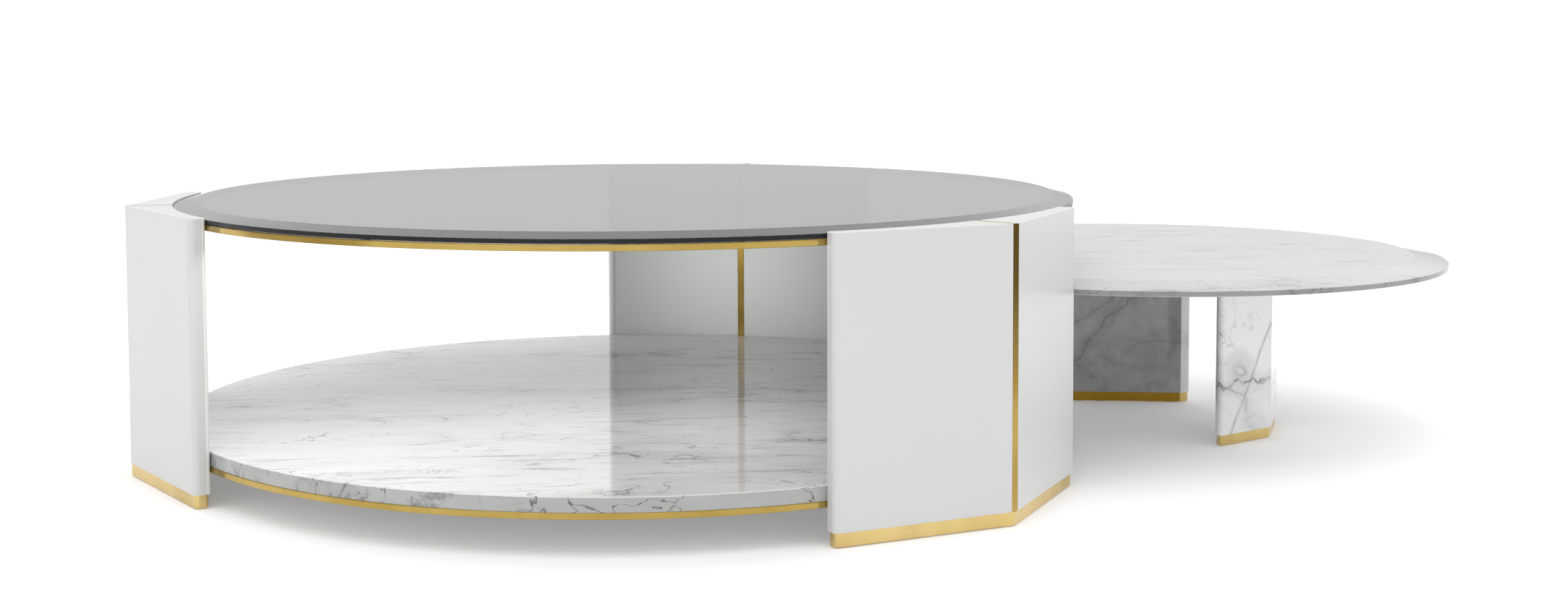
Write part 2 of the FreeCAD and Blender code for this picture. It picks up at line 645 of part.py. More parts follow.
def make_small_block(name, azimuth, base, height, piece, nose):
    """Solid with two flat outer faces, ends cut back and a flat inner face."""
    body = new_body(name, leg_frame(small_axis, azimuth, base))
    sketch = new_sketch(body, name + "_outline", "XY_Plane")
    draw_profile(sketch, [(piece + "_inner_x", "- " + piece + "_inner_y"),
                          (piece + "_end_x", "- " + piece + "_end_y"), (piece + "_fold_x", "0"),
                          (piece + "_end_x", piece + "_end_y"),
                          (piece + "_inner_x", piece + "_inner_y")])
    blank = pad(body, sketch, height)
    corners = [Vector(size[piece + x], side * size[piece + y], 0) for side in (-1, 1)
               for x, y in (("_inner_x", "_inner_y"), ("_end_x", "_end_y"))]
    round_edges(body, blank, nose, is_upright_at(corners))
    return body


def make_small_leg(name, azimuth, middle, dowel_spots):
    """Folded marble leg on a screwed brass foot."""
    screw_spots = [Vector(middle, offset, 0) for offset in small_screw_offsets]
    holes = small_dowels(name + "_dowel_bore", azimuth, dowel_spots, "dowel_bore")
    holes += screw_holes(name + "_screw", small_axis, azimuth, screw_spots)
    block = make_small_block(name + "_blank", azimuth, size["small_foot_height"], "small_leg_height",
                             "small_leg", "small_nose_radius")
    keep(cut_holes(name, block, holes), name)
    foot = make_small_block(name + "_foot_blank", azimuth, size["glide_height"],
                            "small_foot_solid_height", "small_foot", "small_foot_nose")
    holes = screw_holes(name + "_foot_screw", small_axis, azimuth, screw_spots)
    foot_label = name.replace("_leg", "_foot")
    keep(cut_holes(name + "_foot", foot, holes), foot_label)
    return foot_screws(name + "_screw", small_axis, azimuth, screw_spots)


def make_small_table():
    middle = size["small_leg_inner_x"] + size["small_fixing_inset"]
    dowel_spots = [Vector(middle, offset, 0) for offset in dowel_offsets]
    glide_spots = [Vector(middle, offset, 0) for offset in small_glide_offsets]
    make_small_top(dowel_spots)
    screws, dowels, glides = [], [], []
    for name, azimuth in small_legs.items():
        screws.append(make_small_leg(name, azimuth, middle, dowel_spots))
        dowels += small_dowels(name + "_dowel", azimuth, dowel_spots, "dowel_radius")
        glides += upright_bars(name + "_glide", small_axis, azimuth, glide_spots, 0.0,
                               "glide_radius", "glide_height")
    keep(group("small_screws", screws), "small_foot_screws")
    keep(group("small_dowels", dowels), "small_top_dowels")
    keep(group("small_glides", glides), "small_glides")


make_glass()
make_bumpers()
make_ring()
make_shelf()
for leg_name, leg_azimuth in large_legs.items():
    make_large_leg(leg_name, leg_azimuth)
make_small_table()
doc.recompute()

for thing in doc.Objects:
    if "Invalid" in thing.State or "Error" in thing.State:
        raise RuntimeError("failed: " + thing.Label)
for thing in sub_parts:
    if thing.Shape.isNull() or not thing.Shape.isValid():
        raise RuntimeError("bad shape: " + thing.Label)

os.makedirs("parts", exist_ok=True)
for thing in sub_parts:
    thing.Shape.exportStep("parts/%s.step" % thing.Label)
print("%d nodes written" % len(sub_parts))
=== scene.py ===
# Nesting tables: finished surfaces, floor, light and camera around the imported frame.
import json
import math
import bpy
import numpy as np
from mathutils import Euler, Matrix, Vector


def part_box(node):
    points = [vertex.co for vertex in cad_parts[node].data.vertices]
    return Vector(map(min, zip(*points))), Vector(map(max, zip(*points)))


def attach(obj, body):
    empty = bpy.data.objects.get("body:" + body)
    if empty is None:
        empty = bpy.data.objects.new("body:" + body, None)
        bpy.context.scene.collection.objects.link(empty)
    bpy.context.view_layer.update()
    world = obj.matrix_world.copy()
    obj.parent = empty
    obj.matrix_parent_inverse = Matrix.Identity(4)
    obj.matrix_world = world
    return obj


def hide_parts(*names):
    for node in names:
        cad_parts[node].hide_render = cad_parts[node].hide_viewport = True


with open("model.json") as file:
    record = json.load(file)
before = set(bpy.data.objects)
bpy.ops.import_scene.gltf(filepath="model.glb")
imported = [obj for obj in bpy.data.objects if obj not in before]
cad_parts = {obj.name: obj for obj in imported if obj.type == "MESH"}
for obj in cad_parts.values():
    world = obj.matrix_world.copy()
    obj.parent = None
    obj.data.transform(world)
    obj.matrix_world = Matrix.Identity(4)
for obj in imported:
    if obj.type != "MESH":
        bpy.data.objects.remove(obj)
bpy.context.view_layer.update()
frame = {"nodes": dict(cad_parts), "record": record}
print("frame loaded:", len(frame["nodes"]), "nodes")


# Middle of a node's box.
def centreOf(node):
    low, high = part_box(node)
    return (low + high) / 2


# Half the width of a round piece, measured along Y.
def radiusOf(node):
    low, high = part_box(node)
    return (high.y - low.y) / 2


largeAxis = centreOf("glass_top")
smallAxis = centreOf("small_top")
glassRadius = radiusOf("glass_top")
smallRadius = radiusOf("small_top")


# An outline is a closed run of points with their outward normals, anticlockwise.

# Arc of a circle: centre + radius * (cos a, sin a); a hollow arc's normals point at its centre.
def arcRun(centre, radius, start, end, steps, hollow=False):
    angles = np.radians(np.linspace(start, end, steps + 1))
    away = np.stack([np.cos(angles), np.sin(angles)], axis=1)
    return np.asarray(centre[:2]) + radius * away, -away if hollow else away


# Rounded corner: the arc that touches both sides, its centre at radius / sin(half the corner's
# angle) from the corner on the line that halves it.
def cornerRun(before, corner, after, radius, steps=6):
    before, corner, after = (np.asarray(point, float) for point in (before, corner, after))
    toBefore = (before - corner) / np.linalg.norm(before - corner)
    toAfter = (after - corner) / np.linalg.norm(after - corner)
    half = math.acos(np.clip(np.dot(toBefore, toAfter), -1, 1)) / 2
    middle = (toBefore + toAfter) / np.linalg.norm(toBefore + toAfter)
    centre = corner + middle * radius / math.sin(half)
    touches = [corner + side * radius / math.tan(half) - centre for side in (toBefore, toAfter)]
    start, end = (math.degrees(math.atan2(touch[1], touch[0])) for touch in touches)
    turn = (end - start + 180) % 360 - 180
    return arcRun(centre, radius, start, start + turn, steps, hollow=turn < 0)


# Runs laid end to end as one.
def joinRuns(runs):
    return np.concatenate([run[0] for run in runs]), np.concatenate([run[1] for run in runs])


# The same run without its last point, where the next run starts on it.
def openRun(run):
    return run[0][:-1], run[1][:-1]


flipY = np.array([1.0, -1.0])


# Mirror image in the X axis, turned round so that it still runs anticlockwise.
def mirrored(outline):
    return outline[0][::-1] * flipY, outline[1][::-1] * flipY


# Turned about Z by the azimuth and moved onto a table's axis.
def placed(outline, axis, azimuth):
    cosine, sine = math.cos(math.radians(azimuth)), math.sin(math.radians(azimuth))
    spin = np.array([[cosine, sine], [-sine, cosine]])
    return outline[0] @ spin + np.array([axis.x, axis.y]), outline[1] @ spin


# Full circle: radius * (cos a, sin a).
def circleOutline(radius, steps=360):
    return openRun(arcRun((0, 0), radius, 0, 360, steps))


# Rectangle with rounded corners, from x0 to x1 and half to each side of the X axis.
def boxOutline(x0, x1, half, radius):
    corners = [(x0, -half), (x1, -half), (x1, half), (x0, half)]
    return joinRuns([cornerRun(corners[i - 1], corners[i], corners[(i + 1) % 4], radius)
                     for i in range(4)])


# Corner of a wing end, where the outer face x * cos(face) + y * sin(face) = fold * cos(face) meets the
# end face at angle half, both moved in by inset.
def wingEnd(shape, inset):
    face, half = math.radians(shape["faceAngle"]), math.radians(shape["halfAngle"])
    moved = shape["foldRadius"] - inset / math.cos(face)
    along = (moved * math.cos(face) - inset * math.sin(half - face)) / math.cos(half - face)
    return np.array([inset * math.sin(half) + along * math.cos(half),
                     along * math.sin(half) - inset * math.cos(half)])


# Corners of a convex outline after every side has moved in by inset: each new corner is where the
# two moved sides beside it cross.
def movedIn(corners, inset):
    corners = np.asarray(corners, float)
    along = np.roll(corners, -1, axis=0) - corners
    along /= np.linalg.norm(along, axis=1)[:, None]
    start = corners + inset * np.stack([-along[:, 1], along[:, 0]], axis=1)
    before, earlier = np.roll(along, 1, axis=0), np.roll(start, 1, axis=0)
    gap = start - earlier
    share = ((gap[:, 0] * along[:, 1] - gap[:, 1] * along[:, 0])
             / (before[:, 0] * along[:, 1] - before[:, 1] * along[:, 0]))
    return earlier + before * share[:, None]


# A section says how far in and how high, with its normal's outward and upward shares.

# Upright wall with eased edges, from the bottom face up over the top face: quarter circles,
# round * (1 - cos a) in and round * (1 - sin a) from the face.
def wallSection(low, high, lowRound, highRound, steps=5):
    down = np.radians(np.linspace(-90, 0, steps + 1))
    up = np.radians(np.linspace(0, 90, steps + 1))
    foot = [lowRound * (1 - np.cos(down)), low + lowRound * (1 + np.sin(down)),
            np.cos(down), np.sin(down)]
    brow = [highRound * (1 - np.cos(up)), high - highRound * (1 - np.sin(up)),
            np.cos(up), np.sin(up)]
    return np.concatenate([np.stack(foot, axis=1), np.stack(brow, axis=1)])


# Wall with a wide bevel above it: corners rounded in the (outward, up) plane.
def bevelSection(low, high, shape):
    reach, lip = shape["bevelWidth"], high - shape["bevelDepth"]
    beyond = reach + 0.05     # only gives the first and last corner a side to touch
    corners = [(-beyond, low), (0.0, low), (0.0, lip), (-reach, high), (-beyond, high)]
    rounds = [shape["edgeRound"], shape["edgeRound"], shape["bevelRound"]]
    points, normals = joinRuns([cornerRun(*corners[i:i + 3], rounds[i]) for i in range(3)])
    return np.stack([-points[:, 0], points[:, 1], normals[:, 0], normals[:, 1]], axis=1)


# Closed section of a flat ring, a rectangle with rounded corners.
def ringSection(low, high, width, radius):
    points, normals = boxOutline(-width, 0.0, (high - low) / 2, radius)
    middle = (low + high) / 2
    return np.stack([-points[:, 0], points[:, 1] + middle, normals[:, 0], normals[:, 1]], axis=1)


# A section carried along an outline: point - inset * normal, at the section's height.
# An open section gets a flat cap at each end; a closed one makes a ring.
def carry(name, outline, section, material, body, nodes, ring=False):
    points, normals = outline
    around, along = len(points), len(section)
    inset, height, outward, upward = section.T
    flat = points[None, :, :] - inset[:, None, None] * normals[None, :, :]
    vertices = np.concatenate([flat, np.broadcast_to(height[:, None, None], (along, around, 1))], axis=2)
    directions = np.concatenate([outward[:, None, None] * normals[None, :, :],
                                 np.broadcast_to(upward[:, None, None], (along, around, 1))], axis=2)
    rows = np.arange(along if ring else along - 1)[:, None]
    columns = np.arange(around)[None, :]
    nextRow, nextColumn = (rows + 1) % along, (columns + 1) % around
    quads = np.stack([rows * around + columns, rows * around + nextColumn,
                      nextRow * around + nextColumn, nextRow * around + columns], axis=2).reshape(-1, 4)
    faces = quads.tolist()
    if not ring:
        faces.append(list(range(around))[::-1])
        faces.append(list(range((along - 1) * around, along * around)))
    mesh = bpy.data.meshes.new(name)
    mesh.from_pydata(vertices.reshape(-1, 3).tolist(), [], faces)
    mesh.polygons.foreach_set("use_smooth", np.ones(len(faces), dtype=bool))
    mesh.update()
    directions = directions.reshape(-1, 3)
    directions /= np.linalg.norm(directions, axis=1)[:, None]
    mesh.normals_split_custom_set_from_vertices(directions.tolist())
    mesh.materials.append(material)
    piece = bpy.data.objects.new(name, mesh)
    bpy.context.scene.collection.objects.link(piece)
    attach(piece, body)
    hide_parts(*nodes)


# One output socket. + - * add Math nodes.
class Wire:
    def __init__(self, shade, socket):
        self.shade = shade
        self.socket = socket

    def math(self, operation, *others):
        return self.shade.maths(operation, self, *others)

    def __add__(self, other):
        return self.math("ADD", other)

    def __radd__(self, other):
        return self.math("ADD", other)

    def __sub__(self, other):
        return self.math("SUBTRACT", other)

    def __rsub__(self, other):
        return self.shade.maths("SUBTRACT", other, self)

    def __mul__(self, other):
        return self.math("MULTIPLY", other)

    def __rmul__(self, other):
        return self.math("MULTIPLY", other)

    def size(self):
        return self.math("ABSOLUTE")

    # 0 below low, 1 above high, smooth between; low may be the larger
    def between(self, low, high):
        return self.shade.node("ShaderNodeMapRange", {"interpolation_type": "SMOOTHSTEP"},
                               {"Value": self, "From Min": low, "From Max": high})

    # first below low, last above high, straight between
    def ramp(self, limits, first, last):
        return self.shade.node("ShaderNodeMapRange", {}, {
            "Value": self, "From Min": limits[0], "From Max": limits[1], "To Min": first, "To Max": last})


# Where a mask goes from 0 to 1: metres from the axis along the normal, or the normal's rise.
leans = {"inwards": (-0.08, -0.14), "upright": (0.7, 0.3), "slopeTop": (0.995, 0.988),
         "slopeFoot": (0.80, 0.90)}


# The nodes of one material, or of the world.
class Shade:
    def __init__(self, owner, outputKind="ShaderNodeOutputMaterial"):
        owner.use_nodes = True
        self.owner = owner
        self.tree = owner.node_tree
        self.tree.nodes.clear()
        self.out = self.tree.nodes.new(outputKind)

    # any node: its type, its settings, then values or links for its sockets
    def node(self, kind, settings=None, sockets=None, output=0):
        made = self.tree.nodes.new(kind)
        for key, value in (settings or {}).items():
            setattr(made, key, value)
        for key, value in (sockets or {}).items():
            if isinstance(value, Wire):
                self.tree.links.new(value.socket, made.inputs[key])
            else:
                made.inputs[key].default_value = value
        return Wire(self, made.outputs[output])

    def maths(self, operation, *values):
        return self.node("ShaderNodeMath", {"operation": operation}, dict(enumerate(values)))

    # Vector Math on two inputs
    def vector(self, operation, first, second, output=0):
        return self.node("ShaderNodeVectorMath", {"operation": operation}, {0: first, 1: second}, output)

    def places(self, shift=(0, 0, 0), turn=(0, 0, 0), scale=(1, 1, 1)):
        coordinates = self.node("ShaderNodeTexCoord", output="Object")
        turned = [math.radians(angle) for angle in turn]
        return self.node("ShaderNodeMapping", {}, {
            "Vector": coordinates, "Location": shift, "Rotation": turned, "Scale": scale})

    # the X, Y or Z of a vector
    def axis(self, letter, vector):
        return self.node("ShaderNodeSeparateXYZ", {}, {0: vector}, output=letter)

    def facing(self):
        return self.node("ShaderNodeNewGeometry", output="Normal")

    def noise(self, places, scale, detail=4.0, roughness=0.5, distortion=0.0, output=0):
        return self.node("ShaderNodeTexNoise", {}, {
            "Vector": places, "Scale": scale, "Detail": detail, "Roughness": roughness,
            "Distortion": distortion}, output)

    # places pushed about by coloured noise, so that lines in them wander
    def wander(self, places, scale, amount, detail=3.0):
        colour = self.noise(places, scale, detail, output="Color")
        centred = self.vector("SUBTRACT", colour, (0.5, 0.5, 0.5))
        pushed = self.node("ShaderNodeVectorMath", {"operation": "SCALE"}, {0: centred, "Scale": amount})
        return self.vector("ADD", places, pushed)

    # 1 on faces that look towards an upright axis, 0 on those that look away
    def inwards(self, axis):
        fromAxis = self.vector("SUBTRACT", self.places(), (axis.x, axis.y, 0))
        flat = self.vector("MULTIPLY", fromAxis, (1, 1, 0))
        return self.vector("DOT_PRODUCT", flat, self.facing(), "Value").between(*leans["inwards"])

    # 1 on faces that lean a little from level, such as a shallow bevel
    def sloping(self):
        rise = self.axis("Z", self.facing())
        return rise.between(*leans["slopeTop"]) * rise.between(*leans["slopeFoot"])

    # 1 on upright faces, 0 on level ones
    def upright(self):
        return self.axis("Z", self.facing()).size().between(*leans["upright"])

    def mix(self, factor, first, second, blend="MIX"):
        return self.node("ShaderNodeMix", {"data_type": "RGBA", "blend_type": blend, "clamp_factor": True},
                         {0: factor, 6: first, 7: second}, output=2)

    def tinted(self, factor, colour, tone):
        return self.mix(factor, colour, tone, "MULTIPLY")

    def bump(self, height, strength, distance):
        return self.node("ShaderNodeBump", {}, {
            "Height": height, "Strength": strength, "Distance": distance})

    def show(self, shader, socket="Surface"):
        self.tree.links.new(shader.socket, self.out.inputs[socket])
        return self.owner

    def surface(self, sockets):
        return self.show(self.node("ShaderNodeBsdfPrincipled", {}, sockets))


# White marble: soft grey clouds, short fine streaks, long wandering veins with a halo, and thin
# broken cracks. Each line is where a noise crosses its middle value. Painted shade darkens upright faces,
# and, where a look asks for it, inner faces and bevels.
marbleLook = {
    "white": (0.88, 0.88, 0.88, 1), "grey": (0.43, 0.435, 0.45, 1),
    "veinColour": (0.14, 0.14, 0.155, 1), "streakColour": (0.25, 0.255, 0.27, 1),
    "edgeShade": (0.50, 0.50, 0.49, 1),        # painted shade: upright faces such as slab edges darker
    "shift": (0.3, 1.7, 0.2), "turn": (0, 0, 24), "stretch": (0.8, 1.7, 1.2),
    "wanderScale": 2.2, "wanderAmount": 0.30,
    "cloudScale": 4.0, "cloudRange": (0.38, 0.78), "cloudStrength": 0.42,
    "bankRange": (0.35, 0.65),                # large patches with more or less cloud
    "streakTurn": (0, 0, -9), "streakStretch": (6.0, 48.0, 24.0), "streakRange": (0.53, 0.66),
    "streakBank": 2.2, "streakBankRange": (0.38, 0.60), "streakStrength": 0.85,
    "veinScale": 3.6, "veinWidth": 0.0075, "veinPatches": (0.44, 0.60), "veinBreaks": (0.32, 0.62),
    "veinStrength": 0.9, "haloStrength": 0.36,
    "crackPatches": (0.44, 0.58), "crackStrength": 0.90,
    "mottleScale": 38.0, "mottleRange": (0.35, 0.70),
    "grainScale": 900.0, "grainDepth": 0.02, "roughness": 0.035,
    "dullScale": 14.0, "dullness": 0.05, "ior": 1.52,
}


def marble(name, look, sheets=()):
    shade = Shade(bpy.data.materials.new(name))
    places = shade.places(look["shift"], look["turn"], look["stretch"])
    wide = shade.wander(places, look["wanderScale"], look["wanderAmount"])
    fine = shade.wander(wide, look["wanderScale"] * 6, look["wanderAmount"] * 0.2, 5.0)
    cloud = shade.noise(wide, look["cloudScale"], 6.0, 0.62).between(*look["cloudRange"])
    bank = shade.noise(places, look["cloudScale"] * 0.35, 2.0).between(*look["bankRange"])
    colour = shade.mix(cloud * look["cloudStrength"] * (bank * 0.7 + 0.3), look["white"], look["grey"])

    streaks = shade.places(look["shift"], look["streakTurn"], look["streakStretch"])
    streaks = shade.wander(streaks, 1.3, 0.5, 3.0)
    streak = shade.noise(streaks, 1.0, 8.0, 0.72).between(*look["streakRange"])
    streakBank = shade.noise(places, look["streakBank"], 3.0).between(*look["streakBankRange"])
    colour = shade.mix(streak * streakBank * look["streakStrength"], colour, look["streakColour"])

    scale, width = look["veinScale"], look["veinWidth"]
    ridge = (shade.noise(fine, scale, 3.0, 0.5) - 0.5).size()
    where = shade.noise(places, scale * 0.8, 3.0).between(*look["veinPatches"])
    breaks = shade.noise(fine, scale * 9, 3.0, 0.6).between(*look["veinBreaks"])
    vein = ridge.between(width, 0.0) * where * breaks
    halo = ridge.between(width * 9, 0.0) * where
    crackRidge = (shade.noise(fine, scale * 3.1, 4.0, 0.55, 0.4) - 0.5).size()
    crackWhere = shade.noise(wide, scale * 1.9, 3.0).between(*look["crackPatches"])
    crack = crackRidge.between(width * 1.1, 0.0) * crackWhere
    colour = shade.mix(halo * look["haloStrength"], colour, look["grey"])
    colour = shade.mix(crack * look["crackStrength"], colour, look["veinColour"])
    colour = shade.mix(vein * look["veinStrength"], colour, look["veinColour"])
    for sheet in sheets:
        colour = veinSheet(shade, colour, sheet, look)

    # painted shade: upright faces, such as slab edges, are darkened
    colour = shade.tinted(shade.upright(), colour, look["edgeShade"])
    # painted shade: faces that look at the small table's axis are darkened, in mottled tones
    if "innerShade" in look:
        mottle = shade.noise(shade.places(), look["mottleScale"], 6.0, 0.75)
        mottle = mottle.between(*look["mottleRange"])
        inner = shade.mix(mottle, look["innerShade"], look["innerDeepShade"])
        colour = shade.tinted(shade.inwards(smallAxis), colour, inner)
    # painted shade: the sloping bevel is darkened
    if "bevelShade" in look:
        colour = shade.tinted(shade.sloping(), colour, look["bevelShade"])
    grain = shade.noise(shade.places(), look["grainScale"], 2.0)
    dull = shade.noise(shade.places(), look["dullScale"], 3.0)
    rough = dull * look["dullness"] + look["roughness"] + vein * look["dullness"]
    return shade.surface({"Base Color": colour, "Roughness": rough, "IOR": look["ior"],
                          "Normal": shade.bump(grain, look["grainDepth"], 0.0001)})


strongVein = {"fade": 0.01, "breakScale": 60.0, "breakRange": (0.25, 0.6), "haloStrength": 0.30}


# One strong vein: the ragged sheet x * a + y * b + z * c = d, kept to a circle of the plan.
def veinSheet(shade, colour, sheet, look):
    rag = shade.wander(shade.places(), sheet["ragScale"], sheet["rag"], 6.0)
    apart = (shade.vector("DOT_PRODUCT", rag, sheet["across"], "Value") - sheet["offset"]).size()
    flat = shade.vector("MULTIPLY", shade.places(), (1, 1, 0))
    away = shade.vector("DISTANCE", flat, sheet["centre"], "Value")
    stretch = away.between(sheet["reach"], sheet["reach"] - strongVein["fade"])
    breaks = shade.noise(rag, strongVein["breakScale"], 4.0, 0.6).between(*strongVein["breakRange"])
    core = apart.between(sheet["width"], sheet["width"] * 0.3) * breaks * stretch
    soft = apart.between(sheet["width"] * 6, 0.0) * stretch
    colour = shade.mix(soft * strongVein["haloStrength"], colour, look["grey"])
    return shade.mix(core * sheet["strength"], colour, look["veinColour"])


# Brass: two tones in patches, painted reflections as darker bands, and brush marks along one direction.
polishedLook = {
    "colour": (0.50, 0.36, 0.11, 1), "deepColour": (0.40, 0.275, 0.07, 1),
    "darkReflection": (0.15, 0.092, 0.010, 1), "roughness": 0.07, "reflectionBandScale": (4, 4, 9),
    "reflectionStrength": 0.75, "brushScale": (60, 60, 900), "brushRough": 0.05, "brushDepth": 0.03,
    "patchScale": 9.0, "patchRough": 0.04, "reflectionBandRange": (0.52, 0.70),
}
inlayLook = {
    **polishedLook, "colour": (0.50, 0.35, 0.10, 1), "deepColour": (0.42, 0.28, 0.07, 1),
    "darkReflection": (0.30, 0.19, 0.035, 1), "reflectionBandScale": (3, 3, 7),
    "topShade": (0.17, 0.15, 0.05, 1), "topShadeRange": (0.10, 0.33),      # painted shade, darker towards the top
}
satinLook = {
    "colour": (0.76, 0.58, 0.25, 1), "deepColour": (0.68, 0.50, 0.20, 1),
    "darkReflection": (0.50, 0.35, 0.11, 1), "roughness": 0.20, "reflectionBandScale": (7, 7, 3),
    "reflectionStrength": 0.6, "brushScale": (40, 40, 1400), "brushRough": 0.12, "brushDepth": 0.04,
    "patchScale": 9.0, "patchRough": 0.04, "reflectionBandRange": (0.52, 0.70),
}
# Satin brass with painted shade on the faces of the small feet that look at the small table's axis.
shadedSatinLook = {**satinLook, "innerShade": (0.55, 0.42, 0.12, 1)}


def brass(name, look):
    shade = Shade(bpy.data.materials.new(name))
    brushed = shade.noise(shade.places(scale=look["brushScale"]), 1.0, 3.0, 0.6)
    patch = shade.noise(shade.places(), look["patchScale"], 4.0)
    # painted reflection: darker bands where dark surroundings would show in the brass
    band = shade.noise(shade.places(scale=look["reflectionBandScale"]), 1.0, 2.0).between(*look["reflectionBandRange"])
    colour = shade.mix(patch.between(0.3, 0.7), look["colour"], look["deepColour"])
    colour = shade.mix(band * look["reflectionStrength"], colour, look["darkReflection"])
    # painted shade: faces that look at the small table's axis are darkened
    if "innerShade" in look:
        colour = shade.tinted(shade.inwards(smallAxis), colour, look["innerShade"])
    # painted shade: outward upright faces darker towards the top
    if "topShade" in look:
        shaded = shade.axis("Z", shade.places()).between(*look["topShadeRange"])
        shaded = shaded * (1.0 - shade.inwards(largeAxis)) * shade.upright()
        colour = shade.tinted(shaded, colour, look["topShade"])
    rough = look["roughness"] + brushed * look["brushRough"] + patch * look["patchRough"]
    return shade.surface({"Base Color": colour, "Metallic": 1.0, "Roughness": rough,
                          "Normal": shade.bump(brushed, look["brushDepth"], 0.0004)})


lacquerLook = {
    "colour": (0.635, 0.635, 0.632, 1), "second": (0.62, 0.62, 0.619, 1),
    "inner": (0.86, 0.88, 0.845, 1),          # painted light: faces that look at the table's axis are lighter
    "roughness": 0.30, "coat": 0.20, "coatRoughness": 0.22, "peelScale": 260.0, "peelDepth": 0.035,
    "toneScale": 2.2, "toneRough": 0.05,
}


# White lacquer: two near tones, painted light on the faces that look at the table's axis, a thin clear
# coat and a fine orange peel.
def lacquer(name, look):
    shade = Shade(bpy.data.materials.new(name))
    peel = shade.noise(shade.places(), look["peelScale"], 2.0, 0.4)
    tone = shade.noise(shade.places(), look["toneScale"], 3.0)
    colour = shade.mix(tone.between(0.3, 0.7), look["colour"], look["second"])
    # painted light: faces that look at the table's axis get a lighter colour
    colour = shade.mix(shade.inwards(largeAxis), colour, look["inner"])
    rough = look["roughness"] + tone * look["toneRough"]
    return shade.surface({"Base Color": colour, "Roughness": rough, "Coat Weight": look["coat"],
                          "Coat Roughness": look["coatRoughness"],
                          "Normal": shade.bump(peel, look["peelDepth"], 0.0006)})


glassLook = {
    "tint": (0.97, 0.97, 0.98, 1), "through": (0.08, 0.08, 0.10, 1), "density": 120.0,
    "shadow": (0.60, 0.60, 0.60, 1),          # light let through to the shelf
    "rim": (0.012, 0.012, 0.014, 1), "rimRoughness": 0.25,
    "smear": 0.02, "smearScale": 7.0, "smearRange": (0.52, 0.75),
    "dust": 0.02, "dustScale": 260.0, "dustRange": (0.62, 0.75),
    "ior": 1.52, "rimIor": 1.3,
}


# Smoked glass: a dark body with faint smears and dust, and a black-looking ground rim.
def smokedGlass(name, look):
    shade = Shade(bpy.data.materials.new(name))
    wandering = shade.wander(shade.places(), 3.0, 0.2)
    smear = shade.noise(wandering, look["smearScale"], 5.0).between(*look["smearRange"])
    dust = shade.noise(shade.places(), look["dustScale"], 2.0).between(*look["dustRange"])
    body = shade.node("ShaderNodeBsdfPrincipled", {}, {
        "Base Color": look["tint"], "Roughness": smear * look["smear"] + dust * look["dust"],
        "IOR": look["ior"], "Transmission Weight": 1.0})
    rim = shade.node("ShaderNodeBsdfPrincipled", {}, {
        "Base Color": look["rim"], "Roughness": look["rimRoughness"], "IOR": look["rimIor"]})
    glass = shade.node("ShaderNodeMixShader", {}, {0: shade.upright(), 1: body, 2: rim})
    # light that only passes through on its way to the shelf is thinned, not bent
    clear = shade.node("ShaderNodeBsdfTransparent", {}, {"Color": look["shadow"]})
    passing = shade.node("ShaderNodeLightPath", output="Is Shadow Ray").math(
        "MAXIMUM", shade.node("ShaderNodeLightPath", output="Is Diffuse Ray"))
    absorb = shade.node("ShaderNodeVolumeAbsorption", {}, {
        "Color": look["through"], "Density": look["density"]})
    shade.show(absorb, "Volume")
    return shade.show(shade.node("ShaderNodeMixShader", {}, {0: passing, 1: glass, 2: clear}))


# Hidden pieces: two tones and a grain.
steelLook = {"colour": (0.62, 0.63, 0.65, 1), "second": (0.50, 0.51, 0.53, 1), "metallic": 1.0,
             "roughness": 0.30, "grainScale": 300.0, "grainDepth": 0.1, "stretch": (1, 1, 1)}
feltLook = {"colour": (0.62, 0.60, 0.56, 1), "second": (0.48, 0.46, 0.42, 1), "metallic": 0.0,
            "roughness": 0.85, "grainScale": 900.0, "grainDepth": 0.6, "stretch": (1, 1, 1)}
boardLook = {"colour": (0.58, 0.58, 0.57, 1), "second": (0.50, 0.50, 0.49, 1), "metallic": 0.0,
             "roughness": 0.50, "grainScale": 40.0, "grainDepth": 0.1, "stretch": (1, 9, 9)}
padLook = {"colour": (0.70, 0.71, 0.72, 1), "second": (0.62, 0.63, 0.64, 1), "metallic": 0.0,
           "roughness": 0.20, "grainScale": 200.0, "grainDepth": 0.05, "stretch": (1, 1, 1)}


def plain(name, look):
    shade = Shade(bpy.data.materials.new(name))
    grain = shade.noise(shade.places(scale=look["stretch"]), look["grainScale"], 4.0, 0.6)
    tone = shade.mix(grain.between(0.3, 0.7), look["colour"], look["second"])
    return shade.surface({"Base Color": tone, "Metallic": look["metallic"],
                          "Roughness": look["roughness"] + grain * 0.15,
                          "Normal": shade.bump(grain, look["grainDepth"], 0.001)})


whiteMarble = marble("white_marble", marbleLook)
polishedBrass = brass("polished_brass", polishedLook)
inlayBrass = brass("inlay_brass", inlayLook)
satinBrass = brass("satin_brass", satinLook)
whiteLacquer = lacquer("white_lacquer", lacquerLook)
darkGlass = smokedGlass("smoked_glass", glassLook)
zincSteel = plain("zinc_steel", steelLook)
felt = plain("felt", feltLook)
paintedBoard = plain("painted_board", boardLook)
clearPad = plain("clear_pad", padLook)
print("finishes of the large table and of the hidden pieces made")


glassTop = {"bevelWidth": 0.027, "bevelDepth": 0.0065, "edgeRound": 0.0009, "bevelRound": 0.0012}
brassRing = {"width": 0.026, "edgeRound": 0.0012}


